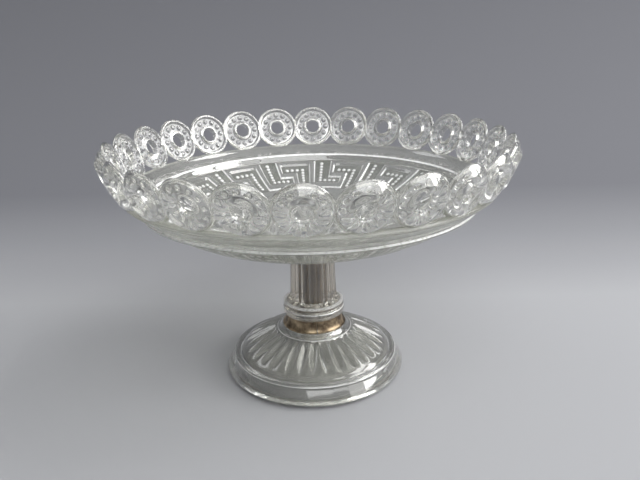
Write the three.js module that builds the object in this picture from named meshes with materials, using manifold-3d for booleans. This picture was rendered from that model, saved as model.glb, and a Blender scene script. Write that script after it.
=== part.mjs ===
// Footed candy dish of clear pressed glass: a shallow saucer with a plain ledge and a rim of
// openwork discs, a hollow fluted stem, and a domed foot. A glass wafer joins bowl and stem.
// The stem's spigot is bedded with cement in the foot's socket, and a rolled brass ferrule
// hides that joint. Millimetres, +Z up, origin on the table under the middle of the dish.
import * as THREE from 'three';
import { mergeVertices } from 'three/addons/utils/BufferGeometryUtils.js';
import Module from 'manifold-3d';

// Main sizes: height to the rim's top, radius of the foot, and radius of the saucer at its step.
const dishHeight = 138;
const footRadius = 52.3;
const saucerRadius = 88.5;

// Foot: each rise and width is one step on the way from the widest edge up to the hub.
const footEdgeHeight = 3.2;
const borderRise = 7.2;
const ridgeRise = 2.8;
const bandRise = 1.4;
const rayRise = 9.7;
const hubRise = 3.1;
const hubSlopeWidth = 2.6;
const bandWidth = 4;
const ridgeWidth = 3;
const borderWidth = 4.3;
const rayBulge = 0.9;
const borderBulge = 0.4;
const restSetIn = 4.5;
const restWidth = 4;
const footWall = 5.4;
const hollowSetIn = 2;
const hollowBulge = 1.4;
const socketFloor = 3.8;

// Joint of foot and stem.
const fitGap = 0.3;
const cementWall = 2.3;
const cementFloor = 3.6;
const cementShort = 0.6;
const ferruleHeight = 6.6;
const ferruleFlange = 3;
const ferruleWall = 0.9;
const ferruleRoom = 2.9;
const ferruleInset = 0.2;
const ferruleSeam = 0.5;
const ferruleSeamTurn = THREE.MathUtils.degToRad(7);

// Stem, from the underside of its lower torus upwards.
const spigotRadius = 9.5;
const spigotLength = 13;
const torusOverhang = 1.7;
const lowerTorusHeight = 5.4;
const lowerTorusRound = 1.6;
const torusRoundEnd = 60;
const grooveDepth = 1;
const torusStep = 0.5;
const upperTorusHeight = 2.4;
const skirtHeight = 6.2;
const shaftFootRadius = 13.2;
const shaftHeadRadius = 12.2;
const coreRadius = 5.5;
const coreRoof = 9.5;
const fluteCount = 18;
const fluteRadius = 2;
const fluteDepth = 0.8;
const fluteTopMargin = 2.5;

// Wafer of glass between stem and bowl.
const waferRadius = 15.5;
const waferThickness = 4;
const waferRound = 1.5;

// Bowl: saucer, step, ledge and rim of discs.
const bossRadius = 14;
const bossDrop = 1.2;
const saucerRise = 21.1;
const saucerPower = 3.6;
const insidePower = 3;
const floorGlass = 5.85;
const wallGlass = 2.75;
const saucerEdge = 2.3;
const stepRise = 3.6;
const stepRound = 1;
const ridgeBead = 0.9;
const ledgeWidth = 10.1;
const ledgeRise = 4.2;
const ledgeGlass = 3.6;
const ledgeLip = 1.6;
const ledgeChamfer = 0.9;
const discCount = 26;
const discOverlap = 2.1;
const discHoleRadius = 4.4;
const discThickness = 5;
const discRound = 1.3;
const discBevel = 2.4;
const discSink = 0.6;
const discLean = THREE.MathUtils.degToRad(23);

// Fineness of the round faces.
const roundSegments = 2 * fluteCount;
const bowlSegments = 2 * discCount;
const discSegments = 18;
const fluteSegments = 6;
const curveSteps = 5;
const arcSteps = 3;

// Heights and radii that follow from the sizes above.
const borderTop = footEdgeHeight + borderRise;
const ridgeTop = borderTop + ridgeRise;
const bandTop = ridgeTop + bandRise;
const rayTop = bandTop + rayRise;
const hubTop = rayTop + hubRise;
const socketRadius = spigotRadius + cementWall + 2 * fitGap;
const ferruleNeckRadius = socketRadius + ferruleRoom + ferruleWall;
const hubFlatRadius = ferruleNeckRadius + ferruleFlange + ferruleInset;
const hubRingRadius = hubFlatRadius + hubSlopeWidth;
const ridgeRadius = footRadius - borderWidth;
const bandRadius = ridgeRadius - ridgeWidth;
const rayEndRadius = bandRadius - bandWidth;
const restOuterRadius = footRadius - restSetIn;
const restInnerRadius = restOuterRadius - restWidth;
const lowerTorusRadius = ferruleNeckRadius + torusOverhang;
const upperTorusRadius = lowerTorusRadius - torusStep;
const stemSeat = hubTop + ferruleHeight;
const spigotEnd = stemSeat - spigotLength;
const socketEnd = spigotEnd - cementFloor;
const hollowTop = socketEnd - socketFloor;
const skirtFoot = stemSeat + lowerTorusHeight + upperTorusHeight;
const shaftFoot = skirtFoot + skirtHeight;
const insideRadius = saucerRadius - saucerEdge;
const insideRise = saucerRise + wallGlass - floorGlass;
const ledgeRadius = saucerRadius + ledgeWidth;

// Each disc runs into its neighbours by the overlap, whatever the rim's size.
const leanOut = Math.sin(discLean);
const leanUp = Math.cos(discLean);
const halfPitch = Math.sin(Math.PI / discCount);
const discShare = halfPitch * (ledgeRadius - discSink * leanOut) + discOverlap / 2;
const discRadius = discShare / (1 - halfPitch * leanOut);
const discReach = discRadius - discSink;
const discCentreRadius = ledgeRadius + discReach * leanOut;

// Down from the rim's top to the head of the stem, which sets the length of the shaft.
const discTopRise = discRadius * leanUp + (discThickness / 2 - discRound) * leanOut;
const discCentreHeight = dishHeight - discTopRise;
const ledgeTop = discCentreHeight - discReach * leanUp;
const stepTop = ledgeTop - ledgeRise;
const saucerFloor = stepTop - stepRise - insideRise;
const saucerUnder = saucerFloor - floorGlass;
const bowlSeat = saucerUnder - bossDrop;
const stemTop = bowlSeat - waferThickness;
const coreTop = stemTop - coreRoof;

const wasm = await Module();
wasm.setup();

// A profile of [radius, height] points, turned once about +Z. It runs up the outside.
function turned(profile, segments) {
  const points = profile.map(([radius, height]) => new THREE.Vector2(radius, height));
  return new THREE.LatheGeometry(points, segments).rotateX(Math.PI / 2);
}

// Points of an arc between two angles in degrees, with its own half axes.
function arc(radius, height, halfWidth, halfHeight, from, to, steps = arcSteps) {
  return Array.from({ length: steps + 1 }, (_, i) => {
    const angle = THREE.MathUtils.degToRad(from + ((to - from) * i) / steps);
    return [radius + halfWidth * Math.cos(angle), height + halfHeight * Math.sin(angle)];
  });
}

// Points of a curve height(radius) between two radii.
function swept(fromRadius, toRadius, height, steps = curveSteps) {
  return Array.from({ length: steps + 1 }, (_, i) => {
    const radius = fromRadius + ((toRadius - fromRadius) * i) / steps;
    return [radius, height(radius)];
  });
}

// Height of a slightly domed slope between two points of the foot.
function domed([r0, z0], [r1, z1], bulge) {
  return (radius) => {
    const share = (radius - r0) / (r1 - r0);
    return z0 + (z1 - z0) * share + 4 * bulge * share * (1 - share);
  };
}

function toSolid(geometry) {
  const bare = geometry.clone();
  bare.deleteAttribute('normal');
  bare.deleteAttribute('uv');
  const merged = mergeVertices(bare, 1e-4);
  const corners = merged.index.array;
  const kept = [];
  for (let i = 0; i < corners.length; i += 3) {
    const [a, b, c] = corners.slice(i, i + 3);
    if (a !== b && b !== c && c !== a) kept.push(a, b, c);
  }
  return new wasm.Manifold(new wasm.Mesh({
    numProp: 3,
    vertProperties: new Float32Array(merged.attributes.position.array),
    triVerts: new Uint32Array(kept),
  }));
}

function toGeometry(solid) {
  const mesh = solid.getMesh();
  const geometry = new THREE.BufferGeometry();
  geometry.setAttribute('position', new THREE.BufferAttribute(mesh.vertProperties, 3));
  geometry.setIndex(new THREE.BufferAttribute(mesh.triVerts, 1));
  geometry.computeVertexNormals();
  return geometry;
}

function foot() {
  const edge = [footRadius, footEdgeHeight];
  const ridge = [ridgeRadius, borderTop];
  const rayEnd = [rayEndRadius, bandTop];
  const hubRing = [hubRingRadius, rayTop];
  const hollow = [0, hollowTop];
  const hollowEdge = [restInnerRadius - hollowSetIn, bandTop - footWall];
  return turned([
    hollow,
    ...swept(hubRingRadius, hollowEdge[0], domed(hollow, hollowEdge, hollowBulge)),
    [restInnerRadius, 0],
    [restOuterRadius, 0],
    edge,
    ...swept(edge[0], ridge[0], domed(edge, ridge, borderBulge), arcSteps).slice(1),
    [bandRadius, ridgeTop],
    ...swept(rayEnd[0], hubRing[0], domed(rayEnd, hubRing, rayBulge)),
    [hubFlatRadius, hubTop],
    [socketRadius, hubTop],
    [socketRadius, socketEnd],
    [0, socketEnd],
  ], roundSegments);
}

// The cement fills the socket as a cup round the spigot and stops inside the ferrule.
function cementBed() {
  const inner = spigotRadius + fitGap;
  const outer = inner + cementWall;
  const top = stemSeat - cementShort;
  return turned([
    [0, socketEnd],
    [outer, socketEnd],
    [outer, top],
    [inner, top],
    [inner, spigotEnd],
    [0, spigotEnd],
  ], roundSegments);
}

// The ferrule is a strip rolled into a cove, butted at a seam a little to the right of -Y.
function ferrule() {
  const outside = arc(ferruleNeckRadius + ferruleFlange, stemSeat, ferruleFlange, ferruleHeight,
    270, 180, curveSteps);
  const inside = outside.map(([radius, height]) => [radius - ferruleWall, height]).reverse();
  const ring = turned([...outside, ...inside, outside[0]], roundSegments);
  const slit = new THREE.BoxGeometry(ferruleSeam, 2 * hubFlatRadius, 4 * ferruleHeight);
  slit.translate(0, -hubFlatRadius, stemSeat).rotateZ(ferruleSeamTurn);
  return toGeometry(toSolid(ring).subtract(toSolid(slit)));
}

// One flute: a round-ended rod that scoops the shaft and runs out on the flared skirt.
function fluteCutter(index) {
  const length = stemTop - fluteTopMargin - skirtFoot - 2 * fluteRadius;
  const rod = new THREE.CapsuleGeometry(fluteRadius, length, 2, fluteSegments).rotateX(Math.PI / 2);
  const middle = skirtFoot + fluteRadius + length / 2;
  rod.translate(shaftFootRadius + fluteRadius - fluteDepth, 0, middle);
  return toSolid(rod.rotateZ((2 * Math.PI * (index + 0.5)) / fluteCount));
}

function stem() {
  const torusTop = stemSeat + lowerTorusHeight;
  const bottomRound = arc(lowerTorusRadius - lowerTorusRound, stemSeat + lowerTorusRound,
    lowerTorusRound, lowerTorusRound, -90, 0);
  const topRound = arc(lowerTorusRadius - lowerTorusRound, torusTop - lowerTorusRound,
    lowerTorusRound, lowerTorusRound, 0, torusRoundEnd);
  const skirtFlare = upperTorusRadius - shaftFootRadius;
  const body = turned([
    [coreRadius, spigotEnd],
    [spigotRadius, spigotEnd],
    [spigotRadius, stemSeat],
    ...bottomRound,
    ...topRound,
    [upperTorusRadius - grooveDepth, torusTop],
    [upperTorusRadius, torusTop + grooveDepth],
    ...arc(upperTorusRadius, shaftFoot, skirtFlare, skirtHeight, 270, 180, curveSteps),
    [shaftHeadRadius, stemTop],
    [0, stemTop],
    [0, coreTop],
    [coreRadius, coreTop],
    [coreRadius, spigotEnd],
  ], roundSegments);
  let solid = toSolid(body);
  for (let i = 0; i < fluteCount; i++) solid = solid.subtract(fluteCutter(i));
  return toGeometry(solid);
}

function wafer() {
  const middle = stemTop + waferThickness / 2;
  const round = arc(waferRadius - waferRound, middle, waferRound, waferThickness / 2, -90, 90);
  return turned([[0, stemTop], ...round, [0, bowlSeat]], roundSegments);
}

function underside(radius) {
  return saucerUnder + saucerRise * (radius / saucerRadius) ** saucerPower;
}

function inside(radius) {
  return saucerFloor + insideRise * (radius / insideRadius) ** insidePower;
}

// The saucer and its ledge, turned as one glass.
function saucer() {
  return turned([
    [0, bowlSeat],
    [bossRadius, bowlSeat],
    [bossRadius + bossDrop, underside(bossRadius + bossDrop)],
    ...swept(2 * bossRadius, saucerRadius, underside),
    [saucerRadius + ridgeBead, underside(saucerRadius) + ridgeBead],
    [ledgeRadius + ledgeLip - ledgeChamfer, ledgeTop - ledgeGlass],
    [ledgeRadius + ledgeLip, ledgeTop - ledgeChamfer],
    [ledgeRadius, ledgeTop],
    [saucerRadius, stepTop],
    [saucerRadius - stepRound, stepTop - stepRound],
    ...swept(insideRadius, 0, inside),
  ], bowlSegments);
}

// One openwork disc: its axis lies along the outward normal of the leaning rim, and a broad
// bevel runs round its outer face.
function disc(index) {
  const half = discThickness / 2;
  const shape = turned([
    [discHoleRadius, -half],
    [discRadius - discRound, -half],
    [discRadius, discRound - half],
    [discRadius, half - discBevel],
    [discRadius - discBevel, half],
    [discHoleRadius, half],
    [discHoleRadius, -half],
  ], discSegments);
  shape.rotateY(Math.PI / 2 + discLean);
  shape.translate(discCentreRadius, 0, discCentreHeight);
  return toSolid(shape.rotateZ(Math.PI / 2 + (2 * Math.PI * index) / discCount));
}

function bowl() {
  let solid = toSolid(saucer());
  for (let i = 0; i < discCount; i++) solid = solid.add(disc(i));
  return toGeometry(solid);
}

const glass = { color: 0xdfe6dd, roughness: 0.04, metalness: 0, transparent: true, opacity: 0.45 };
const brass = { color: 0x8f6a3c, roughness: 0.35, metalness: 1 };
const cement = { color: 0x9b8f7c, roughness: 0.9, metalness: 0 };

const dish = new THREE.Group();

function addPiece(name, geometry, look) {
  const mesh = new THREE.Mesh(geometry, new THREE.MeshStandardMaterial(look));
  mesh.name = name;
  dish.add(mesh);
}

addPiece('foot', foot(), glass);
addPiece('cement_bed', cementBed(), cement);
addPiece('ferrule', ferrule(), brass);
addPiece('stem', stem(), glass);
addPiece('joining_wafer', wafer(), glass);
addPiece('bowl', bowl(), glass);

export default dish;
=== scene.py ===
"""Footed candy dish of clear pressed glass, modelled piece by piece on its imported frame."""
import math

import bmesh
import bpy
from mathutils import Matrix, Vector


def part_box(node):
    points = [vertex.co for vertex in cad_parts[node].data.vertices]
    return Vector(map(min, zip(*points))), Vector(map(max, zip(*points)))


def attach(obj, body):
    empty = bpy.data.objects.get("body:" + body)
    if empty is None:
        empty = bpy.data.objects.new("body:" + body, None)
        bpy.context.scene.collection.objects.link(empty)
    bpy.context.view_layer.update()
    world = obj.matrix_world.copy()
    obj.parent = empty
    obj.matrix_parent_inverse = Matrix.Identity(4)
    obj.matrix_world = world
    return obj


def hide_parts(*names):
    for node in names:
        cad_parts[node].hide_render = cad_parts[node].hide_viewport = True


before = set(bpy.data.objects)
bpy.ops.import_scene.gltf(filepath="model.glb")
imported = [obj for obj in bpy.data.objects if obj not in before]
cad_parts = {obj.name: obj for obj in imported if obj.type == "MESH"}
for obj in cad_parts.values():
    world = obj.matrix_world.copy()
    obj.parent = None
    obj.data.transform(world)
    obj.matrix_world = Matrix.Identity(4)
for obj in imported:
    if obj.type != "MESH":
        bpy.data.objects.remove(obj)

bl_info = {
    "name": "Footed Candy Dish",
    "version": (1, 0, 0),
    "blender": (4, 5, 0),
    "location": "View3D > Sidebar > Candy Dish",
    "description": "Builds a footed candy dish of pressed glass round its packed frame",
    "category": "Add Mesh",
}

MM = 0.001
TURN = 2 * math.pi
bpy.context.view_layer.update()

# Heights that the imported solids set, in millimetres.
STEM_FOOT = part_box("ferrule")[1].z / MM
HUB_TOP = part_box("ferrule")[0].z / MM
STEM_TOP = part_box("joining_wafer")[0].z / MM
BOWL_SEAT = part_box("bowl")[0].z / MM
SPIGOT_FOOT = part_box("stem")[0].z / MM
SOCKET_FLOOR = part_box("cement_bed")[0].z / MM
CEMENT_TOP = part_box("cement_bed")[1].z / MM

# How near vertices are joined, in millimetres: in one mesh, and where copies or ends meet.
DOUBLE_GAP = 0.002
SEAM_GAP = 0.01
# How near a cut a vertex counts as lying on it, in millimetres.
CUT_GAP = 0.001
# How far a vertex may lie from the radius of the open ring that it is picked by, in millimetres.
RING_SLACK = 0.02
# Steps round a plain turned piece, and the radius of the hole left at its axis, in millimetres.
TURNED_STEPS = 72
AXIS_HOLE = 0.5
# Angle in degrees up to which an edge is shaded smooth.
SMOOTH_ANGLE = 50

# Refraction of soda-lime glass, and of the bright skin over it.
GLASS_IOR = 1.52
SKIN_IOR = 1.7

# Saucer of the bowl, in millimetres.
SAUCER_RADIUS = 88.5
SAUCER_UNDER = BOWL_SEAT + 1.2
SAUCER_FLOOR = SAUCER_UNDER + 5.85
SAUCER_RISE = 21.1
UNDER_POWER = 3.6
INSIDE_RADIUS = 86.2
INSIDE_RISE = 18.0
INSIDE_POWER = 3

LEDGE_HEIGHT = BOWL_SEAT + 32.85
STEP_HEIGHT = BOWL_SEAT + 22.2
# Rings of faces with a finish of their own, as (radius, height, reach): the step's and the
# shoulder's lines carry a painted white highlight, the ledge's lip the dulled glass.
STEP_LINE = (90.85, STEP_HEIGHT + 1.05, 0.32)
SHOULDER_LINE = (88.25, LEDGE_HEIGHT - 4.38, 0.42)
LEDGE_LIP = (98.5, LEDGE_HEIGHT + 0.3, 2.0)

# Rim of discs, in millimetres.
DISC_COUNT = 26
DISC_RADIUS = 13.55
DISC_HOLE = 4.2
DISC_CENTRE_RADIUS = 103.66
DISC_CENTRE_HEIGHT = BOWL_SEAT + 44.77
DISC_LEAN = math.radians(23)
DISC_STEPS = 48
BEAD_COUNT = 12
BEAD_CIRCLE = 8.8
# Depth and edges of the level field that a disc's beads stand on, and how level its faces are.
DISC_FIELD = 1.1
FIELD_SLACK = 0.06
FIELD_INNER = 6.7
FIELD_OUTER = 10.9

# One repeat of the key pattern: columns as a share of the repeat, rows as radii in millimetres.
KEY_REPEATS = 14
KEY_PHASE = math.radians(111.7)
KEY_COLUMNS = [-0.177, -0.113, -0.055, 0.0, 0.052, 0.1, 0.156, 0.2, 0.253, 0.3, 0.345, 0.409,
               0.44, 0.49, 0.537, 0.585, 0.64, 0.7, 0.759, 0.823]
KEY_ROWS = [57.0, 58.7, 59.9, 61.1, 62.4, 63.7, 65.0, 66.3, 67.6, 68.9, 70.2, 71.5, 72.8, 74.1,
            75.4, 76.7, 78.0, 79.3, 80.6, 81.6, 83.2, 84.4, 85.6, 86.2]
KEY_INNER = 58.7
KEY_OUTER = 85.6
KEY_FLAT_RADIUS = 72.5
KEY_SINK = 0.4
# Height over the ground of a sunk band up to which a face still belongs to the ground.
KEY_GROUND = 0.12
# Sunk bands of the key, as (from share, to share, from radius, to radius).
KEY_BANDS = [
    (-0.113, 0.156, 65.0, 85.6),
    (0.156, 0.409, 65.0, 70.2),
    (0.537, 0.759, 58.7, 81.6),
    (0.253, 0.537, 75.4, 81.6),
]
# Beads of the key, as (share, radius).
KEY_BEADS = (
    [(0.0, row) for row in (67.6, 70.2, 72.8, 75.4, 78.0, 80.6, 83.2)]
    + [(share, 67.6) for share in (0.1, 0.2, 0.3)]
    + [(share, 78.0) for share in (0.345, 0.44, 0.537)]
    + [(0.64, row) for row in (62.4, 65.0, 67.6, 70.2, 72.8, 75.4, 78.0)]
)

# Foot, in millimetres, with its rings as (radius, height).
RAY_COUNT = 32
HUB_RING = (22.0, HUB_TOP - 3.1)
RAY_END = (41.0, HUB_TOP - 12.8)
RAY_BULGE = 0.9
RAY_ROWS = [22.0, 22.7, 23.8, 25.5, 28.0, 31.0, 33.5, 35.8, 37.8, 39.4, 40.3, 41.0]
BORDER_EDGE = (52.3, 3.2)
BORDER_TOP = (48.1, 10.2)
BORDER_BULGE = 0.2
HOLLOW_EDGE = (41.8, 9.2)
HOLLOW_TOP = (0, 13.6)
HOLLOW_BULGE = 1.4
SOCKET_RADIUS = 12.4
# Rings of the foot painted with a white highlight, as (radius, height, reach).
HUB_LINE = (21.7, 24.8, 0.25)
BORDER_LINE = (47.9, 10.85, 0.16)

# Stem, in millimetres.
FLUTE_COUNT = 18
SKIRT_FOOT = STEM_FOOT + 7.8
SHAFT_FOOT = STEM_FOOT + 14.0
SKIRT_RADIUS = 17.0
SHAFT_FOOT_RADIUS = 13.2
SHAFT_HEAD_RADIUS = 12.2
SPIGOT_RADIUS = 9.5
BORE_RADIUS = 7.0
CORE_ROOF = STEM_TOP - 9.5
# Rings of the stem painted with a white highlight, as (radius, height, reach).
RING_LINE = (17.2, SKIRT_FOOT - 0.1, 0.35)
TORUS_LINE = (17.6, STEM_FOOT + 4.35, 0.3)
SKIRT_LINE = (16.4, SKIRT_FOOT + 0.35, 0.7)

# Camera, fitted to the photograph: a focal length in pixels of a frame 640 pixels wide,
# millimetres and radians.
FRAME_PIXELS = 640
FOCAL_PIXELS = 631.1
SENSOR_WIDTH = 36
CAMERA_DISTANCE = 338.3
CAMERA_HEIGHT = 196.2
CAMERA_PITCH = math.radians(19.34)
CAMERA_ROLL = math.radians(1.48)
CAMERA_YAW = math.radians(-0.79)
CAMERA_AZIMUTH = math.radians(1.71)

# Paper sweep, in metres: the floor lies a hair under the foot, and the paper darkens over a
# stretch from where it starts to rise.
FLOOR_SIZE = 8
FLOOR_DROP = 0.0002
SWEEP_START = 0.09
SWEEP_RADIUS = 0.4
SWEEP_STEPS = 12
SHADED_STRETCH = 0.17

# Soft lights, all at one distance and turned to one height over the floor, in metres.
LIGHT_DISTANCE = 2.4
LIGHT_AIM = 0.08
WARM_DAYLIGHT = (1.0, 0.99, 0.98)
PLAIN_DAYLIGHT = (1.0, 1.0, 1.0)
COOL_DAYLIGHT = (0.98, 0.99, 1.0)
# Each is (name, azimuth from +X to +Y, elevation, width, height, radiance, colour), in degrees
# and metres. The window at the right has three panes, the nearest to the camera the dimmest.
LIGHTS = [
    ("window_right_near", -34, 28, 0.78, 1.1, 1.9, WARM_DAYLIGHT),
    ("window_right_middle", -15, 28, 0.78, 1.1, 7.2, WARM_DAYLIGHT),
    ("window_right_far", 8, 28, 0.78, 1.1, 6.5, WARM_DAYLIGHT),
    ("window_high", 12, 54, 1.6, 0.9, 5.0, WARM_DAYLIGHT),
    ("window_front", -74, 50, 2.2, 1.9, 2.6, PLAIN_DAYLIGHT),
    ("window_back", 48, 24, 0.9, 0.5, 4.0, COOL_DAYLIGHT),
    ("window_left", 150, 45, 1.1, 0.8, 1.8, COOL_DAYLIGHT),
]
# Greys of the room round the stage by the Z of the direction, and its strength at the left and
# at the right.
ROOM_GREYS = [(0.0, "#a9aaac"), (0.3, "#8f9092"), (0.6, "#98999b"), (0.92, "#e2e3e5")]
ROOM_LEFT = 0.58
ROOM_RIGHT = 0.98

# Bounces that a ray needs through the walls of the dish, and off its faces.
GLASS_BOUNCES = 24
GLOSSY_BOUNCES = 8


def hex_colour(text):
    """The linear red, green and blue of an sRGB hex colour."""
    parts = [int(text[i:i + 2], 16) / 255 for i in (1, 3, 5)]
    return [c / 12.92 if c <= 0.04045 else ((c + 0.055) / 1.055) ** 2.4 for c in parts]


# Shapes in plan and section.


def underside(radius):
    """Height of the saucer's underside, in millimetres."""
    return SAUCER_UNDER + SAUCER_RISE * (radius / SAUCER_RADIUS) ** UNDER_POWER


def inside(radius):
    """Height of the saucer's inside, in millimetres."""
    return SAUCER_FLOOR + INSIDE_RISE * (radius / INSIDE_RADIUS) ** INSIDE_POWER


def domed(start, end, bulge, share):
    """The point at a share of the way along a slightly domed slope."""
    rise = start[1] + (end[1] - start[1]) * share + 4 * bulge * share * (1 - share)
    return start[0] + (end[0] - start[0]) * share, rise


def raised(points, level):
    """Points of a section, as (radius, height), lifted to a level."""
    return [(radius, level + height) for radius, height in points]


def eased(points, x):
    """The value at x on straight lines through (x, value) points."""
    for (x0, y0), (x1, y1) in zip(points, points[1:]):
        if x <= x1:
            return y0 + (y1 - y0) * max(0.0, (x - x0) / (x1 - x0))
    return points[-1][1]


# Steps of modelling.


def clear_selection():
    """Leaves edit mode and deselects everything."""
    if bpy.context.object and bpy.context.object.mode != "OBJECT":
        bpy.ops.object.mode_set(mode="OBJECT")
    bpy.ops.object.select_all(action="DESELECT")


def edit(obj):
    """Opens one object in edit mode, with nothing selected."""
    clear_selection()
    obj.select_set(True)
    bpy.context.view_layer.objects.active = obj
    bpy.ops.object.mode_set(mode="EDIT")
    bpy.ops.mesh.select_all(action="DESELECT")


def select(obj, kind, test):
    """Selects the edges or faces that pass a test, and nothing else."""
    bpy.ops.mesh.select_mode(type=kind)
    bpy.ops.mesh.select_all(action="DESELECT")
    mesh = bmesh.from_edit_mesh(obj.data)
    for element in mesh.edges if kind == "EDGE" else mesh.faces:
        if test(element):
            element.select_set(True)
    bmesh.update_edit_mesh(obj.data)


def select_border(obj, radius):
    """Selects the open edge loop at a radius in millimetres."""
    select(obj, "EDGE", lambda e: e.is_boundary and all(
        abs(v.co.xy.length / MM - radius) < RING_SLACK for v in e.verts))


def grow_rings(start, points):
    """Extrudes the selected loop, at a known start, through (radius, height) points."""
    radius, height = start
    for next_radius, next_height in points:
        bpy.ops.mesh.extrude_edges_move(
            TRANSFORM_OT_translate={"value": (0, 0, (next_height - height) * MM)})
        scale = next_radius / radius
        bpy.ops.transform.resize(value=(scale, scale, 1), center_override=(0, 0, 0))
        radius, height = next_radius, next_height


def copy_round(count):
    """Copies all of the mesh round +Z and joins the copies where they meet."""
    bpy.ops.mesh.select_all(action="SELECT")
    bpy.ops.mesh.spin(steps=count - 1, dupli=True, angle=TURN * (count - 1) / count,
                      center=(0, 0, 0), axis=(0, 0, 1))
    bpy.ops.mesh.select_all(action="SELECT")
    bpy.ops.mesh.remove_doubles(threshold=SEAM_GAP * MM)


def finish_mesh(obj, name, smooth=SMOOTH_ANGLE):
    """Joins doubles, turns the faces outwards, smooths the shading and names the piece."""
    bpy.ops.mesh.select_all(action="SELECT")
    bpy.ops.mesh.remove_doubles(threshold=DOUBLE_GAP * MM)
    bpy.ops.mesh.normals_make_consistent(inside=False)
    bpy.ops.object.mode_set(mode="OBJECT")
    bpy.ops.object.shade_smooth_by_angle(angle=math.radians(smooth))
    obj.name = obj.data.name = name


def new_grid(columns, rows, place):
    """A grid primitive whose corners are set by column and row, left in edit mode."""
    clear_selection()
    bpy.ops.mesh.primitive_grid_add(x_subdivisions=columns, y_subdivisions=rows, size=1,
                                    location=(0, 0, 0))
    obj = bpy.context.object
    for vertex in obj.data.vertices:
        column = round((vertex.co.x + 0.5) * columns)
        row = round((vertex.co.y + 0.5) * rows)
        vertex.co = place(column, row)
    edit(obj)
    return obj


def turned(name, points, steps=TURNED_STEPS):
    """A closed solid: a section of (radius, height) points drawn by extrusion and spun."""
    clear_selection()
    bpy.ops.mesh.primitive_plane_add(size=MM, enter_editmode=True, location=(0, 0, 0))
    obj = bpy.context.object
    bpy.ops.mesh.select_mode(type="VERT")
    bpy.ops.mesh.select_all(action="SELECT")
    bpy.ops.mesh.merge(type="CENTER")
    x, z = points[0]
    bpy.ops.transform.translate(value=(x * MM, 0, z * MM))
    for next_x, next_z in points[1:]:
        bpy.ops.mesh.extrude_vertices_move(
            TRANSFORM_OT_translate={"value": ((next_x - x) * MM, 0, (next_z - z) * MM)})
        x, z = next_x, next_z
    bpy.ops.mesh.select_all(action="SELECT")
    bpy.ops.mesh.spin(steps=steps, angle=TURN, center=(0, 0, 0), axis=(0, 0, 1))
    finish_mesh(obj, name)
    return obj


def polar(angle, radius, height):
    """A place in metres, from an angle and from millimetres."""
    return Vector((radius * math.cos(angle), radius * math.sin(angle), height)) * MM


def settle(obj, nodes, material):
    """Gives the piece its finish and its place in the frame."""
    obj.data.materials.clear()
    obj.data.materials.append(material)
    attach(obj, "root")
    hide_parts(*nodes)


def add_finish(obj, material, test):
    """Gives the faces that pass a test another material."""
    obj.data.materials.append(material)
    slot = len(obj.data.materials) - 1
    for face in obj.data.polygons:
        if test(face):
            face.material_index = slot


def near_ring(face, rings):
    """Whether a face's middle lies on one of some (radius, height, reach) rings, in millimetres."""
    radius, height = face.center.xy.length / MM, face.center.z / MM
    return any(math.hypot(radius - ring, height - level) < reach for ring, level, reach in rings)


# Materials.


def add_node(material, kind, inputs=None, **settings):
    """Adds one shader node with its settings, and its values or links by socket name."""
    tree = material.node_tree
    made = tree.nodes.new(kind)
    for name, value in settings.items():
        setattr(made, name, value)
    for name, value in (inputs or {}).items():
        if isinstance(value, bpy.types.NodeSocket):
            tree.links.new(value, made.inputs[name])
        else:
            made.inputs[name].default_value = value
    return made


def new_material(name):
    """An empty material, and the socket of the object coordinates that its patterns read."""
    material = bpy.data.materials.new(name)
    material.use_nodes = True
    material.node_tree.nodes.clear()
    return material, add_node(material, "ShaderNodeTexCoord").outputs["Object"]


def with_output(material, shader):
    """The material, with its shader led to its output."""
    add_node(material, "ShaderNodeOutputMaterial", {"Surface": shader.outputs["BSDF"]})
    return material


def set_ramp(ramp, stops):
    """Sets a colour ramp's stops from (place, linear colour) pairs."""
    elements = ramp.color_ramp.elements
    while len(elements) < len(stops):
        elements.new(0.5)
    for element, (place, colour) in zip(elements, stops):
        element.position = place
        element.color = [*colour, 1]


def grained(material, where, size, detail, depth):
    """The normal of a fine noise grain, from its size and depth in millimetres."""
    noise = add_node(material, "ShaderNodeTexNoise",
                     {"Vector": where, "Scale": 1 / (size * MM), "Detail": detail})
    bump = add_node(material, "ShaderNodeBump",
                    {"Height": noise.outputs["Fac"], "Distance": depth * MM, "Strength": 1})
    return bump.outputs["Normal"]


def mottled(material, where, size, detail, stops, raggedness=0.5):
    """The colour of noise patches of a size in millimetres, from the stops of a ramp."""
    noise = add_node(material, "ShaderNodeTexNoise", {
        "Vector": where, "Scale": 1 / (size * MM), "Detail": detail, "Roughness": raggedness})
    ramp = add_node(material, "ShaderNodeValToRGB", {"Fac": noise.outputs["Fac"]})
    set_ramp(ramp, stops)
    return ramp.outputs["Color"]


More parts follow.
